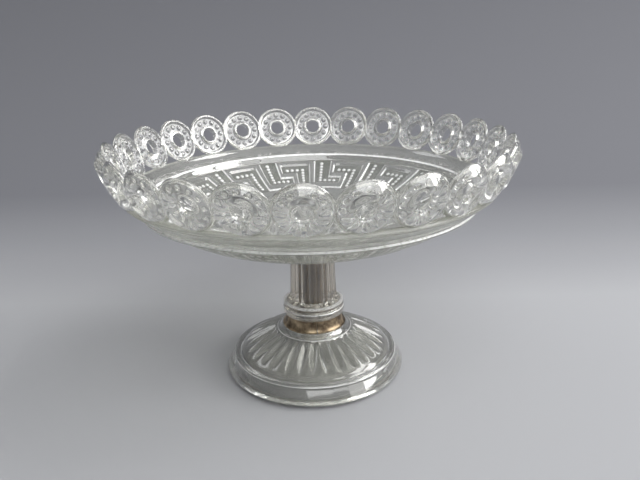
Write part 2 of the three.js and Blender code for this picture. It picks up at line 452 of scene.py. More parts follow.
def pressed_glass(name, tint, ripple, roughness, haze):
    """Soda-lime glass, pressed in an iron mould and fire-polished: a bright skin that the mould's
    chill waves ripple a little, and a faint haze of wear that lets the clear body be seen."""
    material, where = new_material(name)
    # Chill waves about 8 mm apart and a finer, far shallower skin about 1.5 mm apart.
    waves = add_node(material, "ShaderNodeTexNoise",
                     {"Vector": where, "Scale": 1 / (8 * MM), "Detail": 2, "Roughness": 0.4})
    skin = add_node(material, "ShaderNodeTexNoise",
                    {"Vector": where, "Scale": 1 / (1.5 * MM), "Detail": 1})
    wave_bump = add_node(material, "ShaderNodeBump",
                         {"Height": waves.outputs["Fac"], "Distance": ripple * MM, "Strength": 1})
    skin_bump = add_node(material, "ShaderNodeBump",
                         {"Height": skin.outputs["Fac"], "Distance": ripple * MM / 14,
                          "Strength": 1, "Normal": wave_bump.outputs["Normal"]})
    shader = add_node(material, "ShaderNodeBsdfPrincipled", {
        "Base Color": [*tint, 1], "Roughness": roughness, "IOR": GLASS_IOR,
        "Transmission Weight": 1 - haze, "Coat Weight": 1, "Coat Roughness": roughness,
        "Coat IOR": SKIN_IOR, "Normal": skin_bump.outputs["Normal"]})
    return with_output(material, shader)


def satin_underside(finish):
    """The foot's hollow as the plunger left it, unpolished and dulled by use: the dome above it
    reads as silvery glass that shows no table."""
    material, where = new_material("satin_underside")
    normal = grained(material, where, size=0.6, detail=3, depth=0.05)
    shader = add_node(material, "ShaderNodeBsdfPrincipled", {
        "Base Color": [*finish.satin, 1], "Roughness": 0.5, "IOR": GLASS_IOR,
        "Transmission Weight": 0.5, "Normal": normal})
    return with_output(material, shader)


def dulled_glass(finish):
    """The ledge's lip and the wall and underside of the saucer, scuffed by stacking and filmed by
    dishwater: a smooth pale grey-green that blurs what lies behind it."""
    material, where = new_material("dulled_glass")
    normal = grained(material, where, size=2.5, detail=3, depth=0.12)
    shader = add_node(material, "ShaderNodeBsdfPrincipled", {
        "Base Color": [*finish.dull_glass, 1], "Roughness": 0.27, "IOR": GLASS_IOR,
        "Transmission Weight": 0.84, "Normal": normal})
    return with_output(material, shader)


def painted_edge_highlight(name, finish, clear):
    """A painted highlight on a proud mould edge: a thin, speckled white line in place of the light
    that glints along it, that shows the stronger the less of it is still clear."""
    material, where = new_material(name)
    colour = mottled(material, where, size=1.2, detail=2,
                     stops=[(0.3, finish.highlight_speckle_grey), (0.5, finish.highlight_and_stipple_white)])
    shader = add_node(material, "ShaderNodeBsdfPrincipled", {
        "Base Color": colour, "Roughness": 0.3, "IOR": GLASS_IOR,
        "Transmission Weight": clear, "Coat Weight": 1, "Coat Roughness": 0.12,
        "Coat IOR": SKIN_IOR})
    return with_output(material, shader)


def stippled_field(finish):
    """The sunk field between a disc's beads, stippled by the mould: a white ground on which the
    clear beads look dark."""
    material, where = new_material("stippled_field")
    stipple = add_node(material, "ShaderNodeTexVoronoi",
                       {"Vector": where, "Scale": 1 / (0.7 * MM)})
    bump = add_node(material, "ShaderNodeBump",
                    {"Height": stipple.outputs["Distance"], "Distance": 0.08 * MM, "Strength": 1})
    shader = add_node(material, "ShaderNodeBsdfPrincipled", {
        "Base Color": [*finish.highlight_and_stipple_white, 1], "Roughness": 0.3, "IOR": GLASS_IOR,
        "Transmission Weight": 0.72, "Normal": bump.outputs["Normal"]})
    return with_output(material, shader)


def band_shade_glass(finish):
    """Glass in the sunk bands of the key, painted mottled grey-green and darker as shade in these
    recesses.
    """
    material, where = new_material("band_shade_glass")
    colour = mottled(material, where, size=9, detail=3,
                     stops=[(0.35, finish.band_shade_dark), (0.65, finish.band_shade_light)])
    shader = add_node(material, "ShaderNodeBsdfPrincipled", {
        "Base Color": colour, "Roughness": 0.08, "IOR": GLASS_IOR, "Transmission Weight": 0.88})
    return with_output(material, shader)


def dusty_bore(finish):
    """The unpolished wall of the bore, under brown dust that the core let in: the shaft reads as
    clear flutes round a brown middle."""
    material, where = new_material("dusty_bore")
    streaks = add_node(material, "ShaderNodeMapping", {"Vector": where, "Scale": (1, 1, 0.25)})
    colour = mottled(material, streaks.outputs["Vector"], size=4, detail=3,
                     stops=[(0.35, finish.bore_dark), (0.65, finish.bore_film)])
    shader = add_node(material, "ShaderNodeBsdfPrincipled", {
        "Base Color": colour, "Roughness": 0.5, "IOR": GLASS_IOR, "Transmission Weight": 0.35})
    return with_output(material, shader)


def aged_brass(finish):
    """Rolled brass strip, aged: brown with patches of bare gold, and fine rolling lines."""
    material, where = new_material("aged_brass")
    tarnish = add_node(material, "ShaderNodeTexNoise",
                       {"Vector": where, "Scale": 1 / (6 * MM), "Detail": 5, "Roughness": 0.65})
    colour = add_node(material, "ShaderNodeValToRGB", {"Fac": tarnish.outputs["Fac"]})
    set_ramp(colour, [(0.36, finish.brass_dark), (0.5, finish.brass_brown),
                      (0.68, finish.brass_gold)])
    dull = add_node(material, "ShaderNodeMapRange",
                    {"Value": tarnish.outputs["Fac"], "From Min": 0.3, "From Max": 0.7,
                     "To Min": 0.5, "To Max": 0.34})
    squeeze = add_node(material, "ShaderNodeMapping", {"Vector": where, "Scale": (0.04, 0.04, 1)})
    lines = add_node(material, "ShaderNodeTexNoise",
                     {"Vector": squeeze.outputs["Vector"], "Scale": 1 / (0.25 * MM), "Detail": 2})
    bump = add_node(material, "ShaderNodeBump",
                    {"Height": lines.outputs["Fac"], "Distance": 0.02 * MM, "Strength": 0.6})
    shader = add_node(material, "ShaderNodeBsdfPrincipled", {
        "Base Color": colour.outputs["Color"], "Metallic": 1,
        "Roughness": dull.outputs["Result"], "Normal": bump.outputs["Normal"]})
    return with_output(material, shader)


def set_cement(finish):
    """Set bedding cement: grainy, dull and blotched where it has drawn in grease."""
    material, where = new_material("set_cement")
    colour = mottled(material, where, size=5, detail=6, raggedness=0.7,
                     stops=[(0.35, finish.cement_dark), (0.65, finish.cement_light)])
    normal = grained(material, where, size=0.4, detail=4, depth=0.12)
    shader = add_node(material, "ShaderNodeBsdfPrincipled", {
        "Base Color": colour, "Roughness": 0.92, "Normal": normal})
    return with_output(material, shader)


def matt_paper(finish):
    """Plain pale studio paper with next to no grain, shaded darker up the sweep."""
    material, where = new_material("studio_paper")
    depth = add_node(material, "ShaderNodeSeparateXYZ", {"Vector": where}).outputs["Y"]
    shade = add_node(material, "ShaderNodeMapRange", {
        "Value": depth, "From Min": SWEEP_START,
        "From Max": SWEEP_START + SHADED_STRETCH})
    colour = add_node(material, "ShaderNodeValToRGB", {"Fac": shade.outputs["Result"]})
    set_ramp(colour, [(0, finish.paper), (1, finish.backdrop)])
    shader = add_node(material, "ShaderNodeBsdfPrincipled", {
        "Base Color": colour.outputs["Color"], "Roughness": 0.9, "Specular IOR Level": 0.2})
    return with_output(material, shader)


# Settings.


def length_setting(name, description, millimetres):
    """A length that a user may change."""
    return bpy.props.FloatProperty(name=name, description=description, default=millimetres * MM,
                                   unit="LENGTH", precision=4)


def colour_setting(name, description, text):
    """A colour that a user may change, with its default as an sRGB hex value."""
    return bpy.props.FloatVectorProperty(name=name, description=description,
                                         default=hex_colour(text), subtype="COLOR", min=0, max=1)


class DishSizes(bpy.types.PropertyGroup):
    """Depths of the pressed ornament."""
    key_height: length_setting(
        "Key height", "How far the key pattern stands above its sunk bands", 1.0)
    key_bead_radius: length_setting(
        "Key bead radius", "Radius of the small beads in the key pattern", 1.1)
    ray_depth: length_setting(
        "Ray depth", "Depth of the V-shaped rays on the foot", 1.85)
    flute_depth: length_setting(
        "Flute depth", "Depth of the flutes on the stem's shaft", 1.2)
    disc_bead_radius: length_setting(
        "Disc bead radius", "Radius of the beads on the rim's discs", 1.75)
    disc_bead_height: length_setting(
        "Disc bead height", "How far the beads stand up from the discs' faces", 1.0)


class DishFinish(bpy.types.PropertyGroup):
    """Colours of the dish and of the paper that it stands on."""
    glass_tint: colour_setting(
        "Glass tint", "What each face of the glass lets through", "#f5f5f0")
    stem_tint: colour_setting(
        "Stem tint", "Glass of the stem, warmer from the brown dust in its flutes", "#f3ebdd")
    satin: colour_setting(
        "Satin glass", "Unpolished glass of the foot's hollow", "#aaaaa4")
    dull_glass: colour_setting(
        "Dulled glass", "Scuffed wall and underside of the saucer", "#e3e4da")
    # Painted white highlight on the glass's edges; also the white ground of the discs' stippled
    # fields.
    highlight_and_stipple_white: colour_setting(
        "White edge", "Rubbed edge of the glass where it is whitest", "#ffffff")
    # Grey between the speckles of the painted edge highlight.
    highlight_speckle_grey: colour_setting(
        "Dull edge", "Rubbed edge of the glass between its white speckles", "#b9bab6")
    # Painted shade in the key's sunk bands, as lighter and darker mottled glass.
    band_shade_light: colour_setting(
        "Light grime", "Sunk glass of the key where it is cleanest", "#c4c6be")
    band_shade_dark: colour_setting(
        "Dark grime", "Sunk glass of the key where the grime lies thickest", "#a6a99f")
    bore_film: colour_setting(
        "Bore film", "Thin brown dust on the wall of the stem's bore", "#8a734c")
    bore_dark: colour_setting(
        "Bore dust", "Brown dust where it lies thickest in the bore", "#4c3b20")
    brass_gold: colour_setting(
        "Bare brass", "Brass where it has been rubbed", "#ceba9c")
    brass_brown: colour_setting(
        "Aged brass", "Brass under its brown skin", "#97866e")
    brass_dark: colour_setting(
        "Tarnished brass", "Brass where the skin is thickest", "#5e5143")
    cement_light: colour_setting(
        "Light cement", "Clean cement", "#a9a293")
    cement_dark: colour_setting(
        "Dark cement", "Cement that has drawn in grease", "#8d8474")
    paper: colour_setting(
        "Paper", "Floor", "#9fa0a3")
    backdrop: colour_setting(
        "Backdrop", "Upright part of the paper sweep", "#6c6d72")


# Pieces.


class DISH_OT_foot(bpy.types.Operator):
    """Foot: a hollow dome with scooped rays, a step, a rounded border and a socket in its hub"""
    bl_idname = "candy_dish.foot"
    bl_label = "Foot"

    def execute(self, context):
        depth = context.scene.dish_sizes.ray_depth / MM
        # Width of a ray as a share of its pitch, and its depth as a share of the deepest, by radius.
        spread = [(22.0, 0.9), (31.0, 0.92), (34.5, 0.8), (37.8, 0.48), (41.0, 0.02)]
        scoop = [(22.0, 0.0), (22.7, 0.35), (23.8, 0.6), (28.0, 0.9), (33.0, 1.0), (37.8, 0.6),
                 (41.0, 0.0)]
        # Power of a ray's section, where 1 would be a sharp V.
        v_power = 1.15
        across = [-1.0, -0.66, -0.33, 0.0, 0.33, 0.66, 1.0]
        columns = len(across) + 1

        def place(column, row):
            radius = RAY_ROWS[row]
            share = (radius - RAY_END[0]) / (HUB_RING[0] - RAY_END[0])
            height = domed(RAY_END, HUB_RING, RAY_BULGE, share)[1]
            wide = eased(spread, radius)
            if 1 <= column <= len(across):
                sideways = across[column - 1]
                height -= depth * eased(scoop, radius) * (1 - abs(sideways) ** v_power)
                share = sideways * wide
            else:
                share = -1.0 if column == 0 else 1.0
            return polar(share * math.pi / RAY_COUNT, radius, height)

        obj = new_grid(columns, len(RAY_ROWS) - 1, place)
        copy_round(RAY_COUNT)
        step = [
            (41.7, 14.1), (42.6, 13.4), (43.5, 12.6), (44.3, 11.8), (44.6, 11.6), (45.0, 11.55),
            (45.6, 11.75), (46.2, 11.75), (46.9, 11.45), (47.3, 11.0), (47.45, 10.8),
            (47.6, 10.85), (47.8, 10.95), (48.0, 10.75)]
        border = [domed(BORDER_EDGE, BORDER_TOP, BORDER_BULGE, share)
                  for share in (0.98, 0.9, 0.8, 0.68, 0.55, 0.42, 0.3, 0.19, 0.09, 0.0)]
        rest_ring = [(52.2, 2.6), (51.7, 2.0), (48.7, 0.32), (48.1, 0.07), (47.6, 0.0),
                     (44.3, 0.0), (43.8, 0.15), (43.5, 0.7), (42.0, 8.2), (41.7, 8.9), (41.1, 9.5)]
        hollow = [domed(HOLLOW_TOP, HOLLOW_EDGE, HOLLOW_BULGE, share)
                  for share in (0.95, 0.85, 0.7, 0.54, 0.38, 0.22, 0.1)]
        select_border(obj, RAY_END[0])
        grow_rings(RAY_END, [*step, *border, *rest_ring, *hollow])
        bpy.ops.mesh.edge_face_add()
        select_border(obj, HUB_RING[0])
        grow_rings(HUB_RING, [
            (21.85, 24.7), (21.55, 24.9), (21.2, 24.85), (20.95, 24.75), (20.6, 24.95), (19.6, 26.1),
            (19.0, 26.9), (18.6, 27.3), (18.2, HUB_TOP), (SOCKET_RADIUS + 0.3, HUB_TOP),
            (SOCKET_RADIUS, HUB_TOP - 0.3), (SOCKET_RADIUS, SOCKET_FLOOR + 0.3),
            (SOCKET_RADIUS - 0.3, SOCKET_FLOOR)])
        bpy.ops.mesh.edge_face_add()
        finish_mesh(obj, "pressed_foot", smooth=42)
        finish = context.scene.dish_finish
        glass = pressed_glass("pressed_glass_foot", finish.glass_tint,
                              ripple=0.26, roughness=0.065, haze=0.06)
        settle(obj, ["foot"], glass)
        # The hollow's faces look down and lie within a radius and a height, in millimetres.
        hollow_radius, hollow_height, steepest = 44, 16, -0.2
        add_finish(obj, satin_underside(finish), lambda face: face.normal.z < steepest
                   and face.center.xy.length < hollow_radius * MM
                   and face.center.z < hollow_height * MM)
        # The ring at the hub and the bead at the border's top get a painted white highlight.
        add_finish(obj, painted_edge_highlight("painted_edge_highlight_foot", finish, clear=0.3),
                   lambda face: near_ring(face, (HUB_LINE, BORDER_LINE)))
        return {"FINISHED"}


class DISH_OT_cement(bpy.types.Operator):
    """Cement: the bedding of the stem's spigot in the foot's socket"""
    bl_idname = "candy_dish.cement"
    bl_label = "Cement"

    def execute(self, context):
        outside, spigot_hole = SOCKET_RADIUS - 0.3, SPIGOT_RADIUS + 0.3
        obj = turned("bedding_cement", [
            (outside, SOCKET_FLOOR), (outside, CEMENT_TOP - 0.6), (11.8, CEMENT_TOP - 0.1),
            (11.0, CEMENT_TOP), (10.2, CEMENT_TOP - 0.1), (spigot_hole, CEMENT_TOP - 0.6),
            (spigot_hole, SPIGOT_FOOT), (AXIS_HOLE, SPIGOT_FOOT), (AXIS_HOLE, SOCKET_FLOOR),
            (outside, SOCKET_FLOOR)])
        settle(obj, ["cement_bed"], set_cement(context.scene.dish_finish))
        return {"FINISHED"}


class DISH_OT_ferrule(bpy.types.Operator):
    """Ferrule: a brass strip rolled into a cove, with a butted seam"""
    bl_idname = "candy_dish.ferrule"
    bl_label = "Ferrule"

    def execute(self, context):
        seam = math.radians(7)
        seam_width = 0.45
        wall = 0.9
        steps = 96
        edge_radius, cove_depth, cove_steps = 18.4, 2.5, 9
        mean_radius = 17
        gap = seam_width / mean_radius
        angles = [math.radians(270 - 90 * i / cove_steps) for i in range(cove_steps + 1)]
        face = [(edge_radius + cove_depth * math.cos(a),
                 STEM_FOOT + (STEM_FOOT - HUB_TOP) * math.sin(a)) for a in angles]
        back = [(radius - wall, height) for radius, height in reversed(face)]
        section = face + back

        def place(column, row):
            radius, height = section[column % len(section)]
            angle = -math.pi / 2 + seam + gap / 2 + (TURN - gap) * row / steps
            return polar(angle, radius, height)

        obj = new_grid(len(section), steps, place)
        bpy.ops.mesh.select_all(action="SELECT")
        bpy.ops.mesh.remove_doubles(threshold=SEAM_GAP * MM)
        select(obj, "EDGE", lambda e: e.is_boundary)
        bpy.ops.mesh.edge_face_add()
        finish_mesh(obj, "brass_ferrule", smooth=40)
        settle(obj, ["ferrule"], aged_brass(context.scene.dish_finish))
        return {"FINISHED"}


class DISH_OT_stem(bpy.types.Operator):
    """Stem: a hollow fluted shaft on a flared skirt, a ring, a torus and a spigot"""
    bl_idname = "candy_dish.stem"
    bl_label = "Stem"

    def execute(self, context):
        depth = context.scene.dish_sizes.flute_depth / MM
        rises = [0, 0.12, 0.3, 0.55, 0.95, 1.5, 2.3, 3.4, 4.7, 6.2, 12, 18, 24, 29, 31.0, 31.8, 32.3]
        rows = [*[SKIRT_FOOT + rise for rise in rises], STEM_TOP]
        across = [-1.0, -0.75, -0.4, 0.0, 0.4, 0.75, 1.0]
        columns = len(across) + 1
        # Ends of the flutes, and how far from them each flute comes to its full width.
        low, high = SKIRT_FOOT + 0.3, SKIRT_FOOT + 32.3
        low_round, high_round = 2.2, 1.6
        widest, narrowest = 0.9, 0.02

        def shell(height):
            if height < SHAFT_FOOT:
                fall = (SHAFT_FOOT - height) / (SHAFT_FOOT - SKIRT_FOOT)
                return SKIRT_RADIUS - (SKIRT_RADIUS - SHAFT_FOOT_RADIUS) * math.sqrt(
                    max(0.0, 1 - fall * fall))
            share = (height - SHAFT_FOOT) / (STEM_TOP - SHAFT_FOOT)
            return SHAFT_FOOT_RADIUS + (SHAFT_HEAD_RADIUS - SHAFT_FOOT_RADIUS) * share

        def place(column, row):
            height = rows[row]
            radius = shell(height)
            rise = min(1.0, max(0.0, (height - low) / low_round))
            fall = min(1.0, max(0.0, (high - height) / high_round))
            round_end = math.sqrt(max(0.0, 1 - (1 - rise) ** 2) * max(0.0, 1 - (1 - fall) ** 2))
            wide = max(narrowest, widest * round_end)
            if 1 <= column <= len(across):
                sideways = across[column - 1]
                floor = min(radius, shell(max(height, SHAFT_FOOT)) - depth)
                dip = (radius - floor) * round_end
                radius -= dip * (1 - sideways ** 2)
                share = sideways * wide
            else:
                share = -1.0 if column == 0 else 1.0
            return polar((share + 1) * math.pi / FLUTE_COUNT, radius, height)

        obj = new_grid(columns, len(rows) - 1, place)
        copy_round(FLUTE_COUNT)
        select(obj, "EDGE", lambda e: e.is_boundary and all(
            v.co.z > SHAFT_FOOT * MM for v in e.verts))
        bpy.ops.mesh.edge_face_add()
        ring = [(17.3, -0.12), (17.45, -0.5), (17.42, -1.0), (17.15, -1.45), (16.75, -1.85),
                (16.5, -2.2), (16.55, -2.5), (16.9, -2.8)]
        torus = [(17.4, 4.6), (17.78, 4.0), (17.9, 3.3), (17.9, 2.2), (17.8, 1.3), (17.45, 0.6),
                 (16.9, 0.15), (16.2, 0), (SPIGOT_RADIUS + 0.4, 0), (SPIGOT_RADIUS, -0.4)]
        spigot = [(SPIGOT_RADIUS, 0.5), (SPIGOT_RADIUS - 0.5, 0), (BORE_RADIUS + 0.5, 0),
                  (BORE_RADIUS, 0.5)]
        bore = [(BORE_RADIUS, 40.0), (BORE_RADIUS, 60.0), (BORE_RADIUS, CORE_ROOF - 0.9),
                (BORE_RADIUS - 0.3, CORE_ROOF - 0.3), (BORE_RADIUS - 1.0, CORE_ROOF)]
        select(obj, "EDGE", lambda e: e.is_boundary)
        grow_rings((SKIRT_RADIUS, SKIRT_FOOT), [
            *raised(ring, SKIRT_FOOT), *raised(torus, STEM_FOOT), *raised(spigot, SPIGOT_FOOT),
            *bore])
        bpy.ops.mesh.edge_face_add()
        finish_mesh(obj, "pressed_stem", smooth=42)
        finish = context.scene.dish_finish
        glass = pressed_glass("pressed_glass_stem", finish.stem_tint,
                              ripple=0.05, roughness=0.04, haze=0.05)
        settle(obj, ["stem"], glass)
        add_finish(obj, dusty_bore(finish), lambda face:
                   face.center.xy.length < (BORE_RADIUS + 0.3) * MM
                   and face.center.z > (SPIGOT_FOOT + 0.5) * MM)
        # The ring, the torus's shoulder, the flute ends on the skirt and the faces at and under the
        # stem's foot get a painted white highlight.
        add_finish(obj, painted_edge_highlight("painted_edge_highlight_stem", finish, clear=0.45), lambda face:
                   near_ring(face, (RING_LINE, TORUS_LINE, SKIRT_LINE))
                   or face.center.z < (STEM_FOOT + 0.1) * MM)
        return {"FINISHED"}


class DISH_OT_wafer(bpy.types.Operator):
    """Wafer: the gather of glass, laid on hot, that joins the bowl to the stem"""
    bl_idname = "candy_dish.wafer"
    bl_label = "Wafer"

    def execute(self, context):
        middle = (STEM_TOP + BOWL_SEAT) / 2
        half = (BOWL_SEAT - STEM_TOP) / 2
        edge_radius, bulge, edge_steps = 14.0, 1.4, 12
        angles = [math.radians(-90 + 180 / edge_steps * i) for i in range(edge_steps + 1)]
        rim = [(edge_radius + bulge * math.cos(a), middle + half * math.sin(a)) for a in angles]
        obj = turned("hot_laid_wafer", [
            (AXIS_HOLE, STEM_TOP), *rim, (AXIS_HOLE, BOWL_SEAT), (AXIS_HOLE, STEM_TOP)])
        glass = pressed_glass("hot_worked_glass", context.scene.dish_finish.glass_tint,
                              ripple=0.08, roughness=0.02, haze=0.14)
        settle(obj, ["joining_wafer"], glass)
        return {"FINISHED"}


def sunk(share, radius):
    """Whether a place in the key pattern lies in the sunk ground, not on the raised meander."""
    if radius < KEY_INNER or radius > KEY_OUTER:
        return True
    return any(a < share < b and low < radius < high for a, b, low, high in KEY_BANDS)


def in_sunk_band(face, low, high):
    """Whether a face of the finished bowl lies in one of the key's sunk bands, at a height above
    the ground of the band from low to high, in millimetres."""
    x, y, height = face.center / MM
    radius = math.hypot(x, y)
    level = inside(radius) - KEY_SINK
    if not KEY_INNER < radius < KEY_OUTER or not low < height - level < high:
        return False
    share = ((KEY_PHASE - math.atan2(y, x)) % TURN) * KEY_REPEATS / TURN % 1
    return any(sunk(at, radius) for at in (share, share - 1))


def on_key_wall(face):
    """Whether a face of the finished bowl is a slope between the key's bands and its meander."""
    crown = 0.9
    steep = math.radians(34)
    x, y, height = face.center / MM
    radius = math.hypot(x, y)
    rise = height - inside(radius) + KEY_SINK
    slope = math.atan(INSIDE_POWER * INSIDE_RISE * radius ** (INSIDE_POWER - 1)
                      / INSIDE_RADIUS ** INSIDE_POWER)
    level = Vector((-x / radius * math.sin(slope), -y / radius * math.sin(slope), math.cos(slope)))
    return (KEY_ROWS[0] < radius < KEY_ROWS[-1] and KEY_GROUND < rise < crown
            and face.normal.angle(level) > steep)


def on_saucer_outside(face):
    """Whether a face of the finished bowl is on the ledge's lip, the wall or the underside."""
    boss, wall_top, ledge_edge = 16, 98, 101
    radius, height = face.center.xy.length / MM, face.center.z / MM
    most_upright = -0.1 if radius < wall_top else 0.3
    outside = (boss < radius < ledge_edge and height < LEDGE_HEIGHT - 0.3
               and face.normal.z < most_upright)
    return (outside or near_ring(face, (LEDGE_LIP,))) and not near_ring(face, (STEP_LINE,))


def flat_place(share, radius):
    """A place in the key pattern laid flat, in metres."""
    return Vector((share * TURN / KEY_REPEATS * KEY_FLAT_RADIUS, radius, 0)) * MM


def raise_bead(obj, centre, cell, radius, height):
    """Rounds up one bead inside a cell of a flat grid, as insets and a raised middle."""
    x0, x1, y0, y1 = cell
    select(obj, "FACE", lambda f: x0 < f.calc_center_median().x < x1
           and y0 < f.calc_center_median().y < y1)
    margin, pole = radius * 0.12, radius * 0.05
    for share, lift in ((1.0, 0.0), (0.78, 0.62)):
        bpy.ops.mesh.inset(thickness=margin, depth=0)
        mesh = bmesh.from_edit_mesh(obj.data)
        for vertex in {v for f in mesh.faces if f.select for v in f.verts}:
            offset = vertex.co - centre
            if offset.xy.length > pole:
                way = offset.xy.normalized() * radius * share
                vertex.co = (centre.x + way.x, centre.y + way.y, centre.z + height * lift)
            elif lift:
                vertex.co.z = centre.z + height
        bmesh.update_edit_mesh(obj.data)


def key_sector(sizes):
    """One repeat of the key pattern, raised from a flat grid and rolled on to the saucer."""
    obj = new_grid(len(KEY_COLUMNS) - 1, len(KEY_ROWS) - 1,
                   lambda column, row: flat_place(KEY_COLUMNS[column], KEY_ROWS[row]))
    pitch = TURN / KEY_REPEATS * KEY_FLAT_RADIUS * MM

    def proud(face):
        middle = face.calc_center_median()
        return not sunk(middle.x / pitch, middle.y / MM)

    select(obj, "FACE", proud)
    # The meander's rounded wall, as (width in millimetres, share of the key's height).
    for width, rise in ((0.2, 0.1), (0.65, 0.78), (0.25, 0.12)):
        bpy.ops.mesh.inset(thickness=width * MM, depth=rise * sizes.key_height,
                           use_boundary=False)
    bead_height = 0.55 * sizes.key_bead_radius
    for share, radius in KEY_BEADS:
        column, row = KEY_COLUMNS.index(share), KEY_ROWS.index(radius)
        low = flat_place(KEY_COLUMNS[column - 1], KEY_ROWS[row - 1])
        high = flat_place(KEY_COLUMNS[column + 1], KEY_ROWS[row + 1])
        raise_bead(obj, flat_place(share, radius), (low.x, high.x, low.y, high.y),
                   sizes.key_bead_radius, bead_height)
    mesh = bmesh.from_edit_mesh(obj.data)
    for vertex in mesh.verts:
        radius = vertex.co.y / MM
        # The share grows to the right as the back of the dish is seen, against the angle.
        angle = KEY_PHASE - vertex.co.x / MM / KEY_FLAT_RADIUS
        vertex.co = polar(angle, radius, inside(radius) - KEY_SINK + vertex.co.z / MM)
    bmesh.update_edit_mesh(obj.data)
    return obj


def saucer(sizes):
    """Saucer, step and ledge: the key pattern copied round, then grown in and out by rings."""
    obj = key_sector(sizes)
    copy_round(KEY_REPEATS)
    inner, outer = KEY_ROWS[0], KEY_ROWS[-1]
    select_border(obj, inner)
    grow_rings((inner, inside(inner) - KEY_SINK),
               [(r, inside(r) - KEY_SINK) for r in (52, 46, 39, 31, 22, 12)])
    bpy.ops.mesh.edge_face_add()
    select_border(obj, outer)
    shoulder = [(86.5, -7.8), (86.9, -7.0), (87.3, -5.75), (87.7, -4.85), (88.2, -4.3)]
    ledge = [(88.9, -4.1), (91.5, -3.0), (94.4, -1.75), (95.6, -0.6), (96.6, 0.5), (97.4, 0.9),
             (98.5, 0.9), (99.4, 0.45), (100.0, -0.4), (100.25, -1.2)]
    wall = [(100.0, 9.0), (99.4, 8.45), (96.7, 6.4), (93.5, 4.0), (90.5, 1.85), (90.1, 1.5)]
    bead = [(90.4, 1.4), (90.9, 1.1), (91.2, 0.6), (91.1, 0.1), (90.5, -0.2), (89.4, -0.3),
            (88.3, -0.3)]
    under = [(r, underside(r))
             for r in (87.5, 86, 82, 77, 71, 64, 56, 46, 36, 26, 18, 15.2)]
    boss = [(14.4, 0.3), (14.0, 0)]
    grow_rings((outer, inside(outer) - KEY_SINK), [
        *raised(shoulder + ledge, LEDGE_HEIGHT), *raised(wall + bead, STEP_HEIGHT), *under,
        *raised(boss, BOWL_SEAT)])
    bpy.ops.mesh.edge_face_add()
    finish_mesh(obj, "pressed_bowl")
    return obj


def raise_disc_bead(obj, angle, sizes):
    """Rounds up one bead on a disc's face, in a cell of four columns of faces by four rows."""
    centre = polar(angle, BEAD_CIRCLE, -DISC_FIELD)
    half = TURN / BEAD_COUNT / 2
    margin, pole, slack = 0.1 * MM, 0.3 * MM, 0.05 * MM

    def in_cell(face):
        middle = face.calc_center_median()
        turned_by = (math.atan2(middle.y, middle.x) - angle + math.pi) % TURN - math.pi
        return (abs(turned_by) < half and abs(middle.z - centre.z) < slack
                and FIELD_INNER * MM < middle.xy.length < FIELD_OUTER * MM)

    select(obj, "FACE", in_cell)
    # The bead's rounded side, as (share of its radius, share of its height).
    for share, lift in ((1.0, 0.0), (0.86, 0.55), (0.6, 0.9)):
        bpy.ops.mesh.inset(thickness=margin, depth=0)
        mesh = bmesh.from_edit_mesh(obj.data)
        reach = sizes.disc_bead_radius * share
        for vertex in {v for f in mesh.faces if f.select for v in f.verts}:
            offset = (vertex.co - centre).xy
            if any(not f.select for f in vertex.link_faces):
                size, rise = reach, lift
            elif offset.length >= pole:
                size, rise = reach / 2, min(1.0, lift * 1.1)
            else:
                size, rise = 0, min(1.0, lift * 1.2)
            way = offset.normalized() * size
            vertex.co = (centre.x + way.x, centre.y + way.y,
                         centre.z - rise * sizes.disc_bead_height)
        bmesh.update_edit_mesh(obj.data)


def disc_place():
    """Where a disc that was modelled flat stands in the rim, before the copies are turned round."""
    place = Matrix.Translation(Vector((DISC_CENTRE_RADIUS, 0, DISC_CENTRE_HEIGHT)) * MM)
    return place @ Matrix.Rotation(math.pi / 2 + DISC_LEAN, 4, "Y")


def on_disc_field(face):
    """Whether a face of the finished bowl is the level field between the beads of a disc."""
    pitch = TURN / DISC_COUNT
    angle = math.atan2(face.center.y, face.center.x) - math.pi / 2
    turned_back = Matrix.Rotation(-math.pi / 2 - round(angle / pitch) * pitch, 4, "Z") @ face.center
    flat = (disc_place().inverted() @ turned_back) / MM
    return (abs(flat.z + DISC_FIELD) < FIELD_SLACK
            and FIELD_INNER - 0.2 < flat.xy.length < FIELD_OUTER + 0.3)


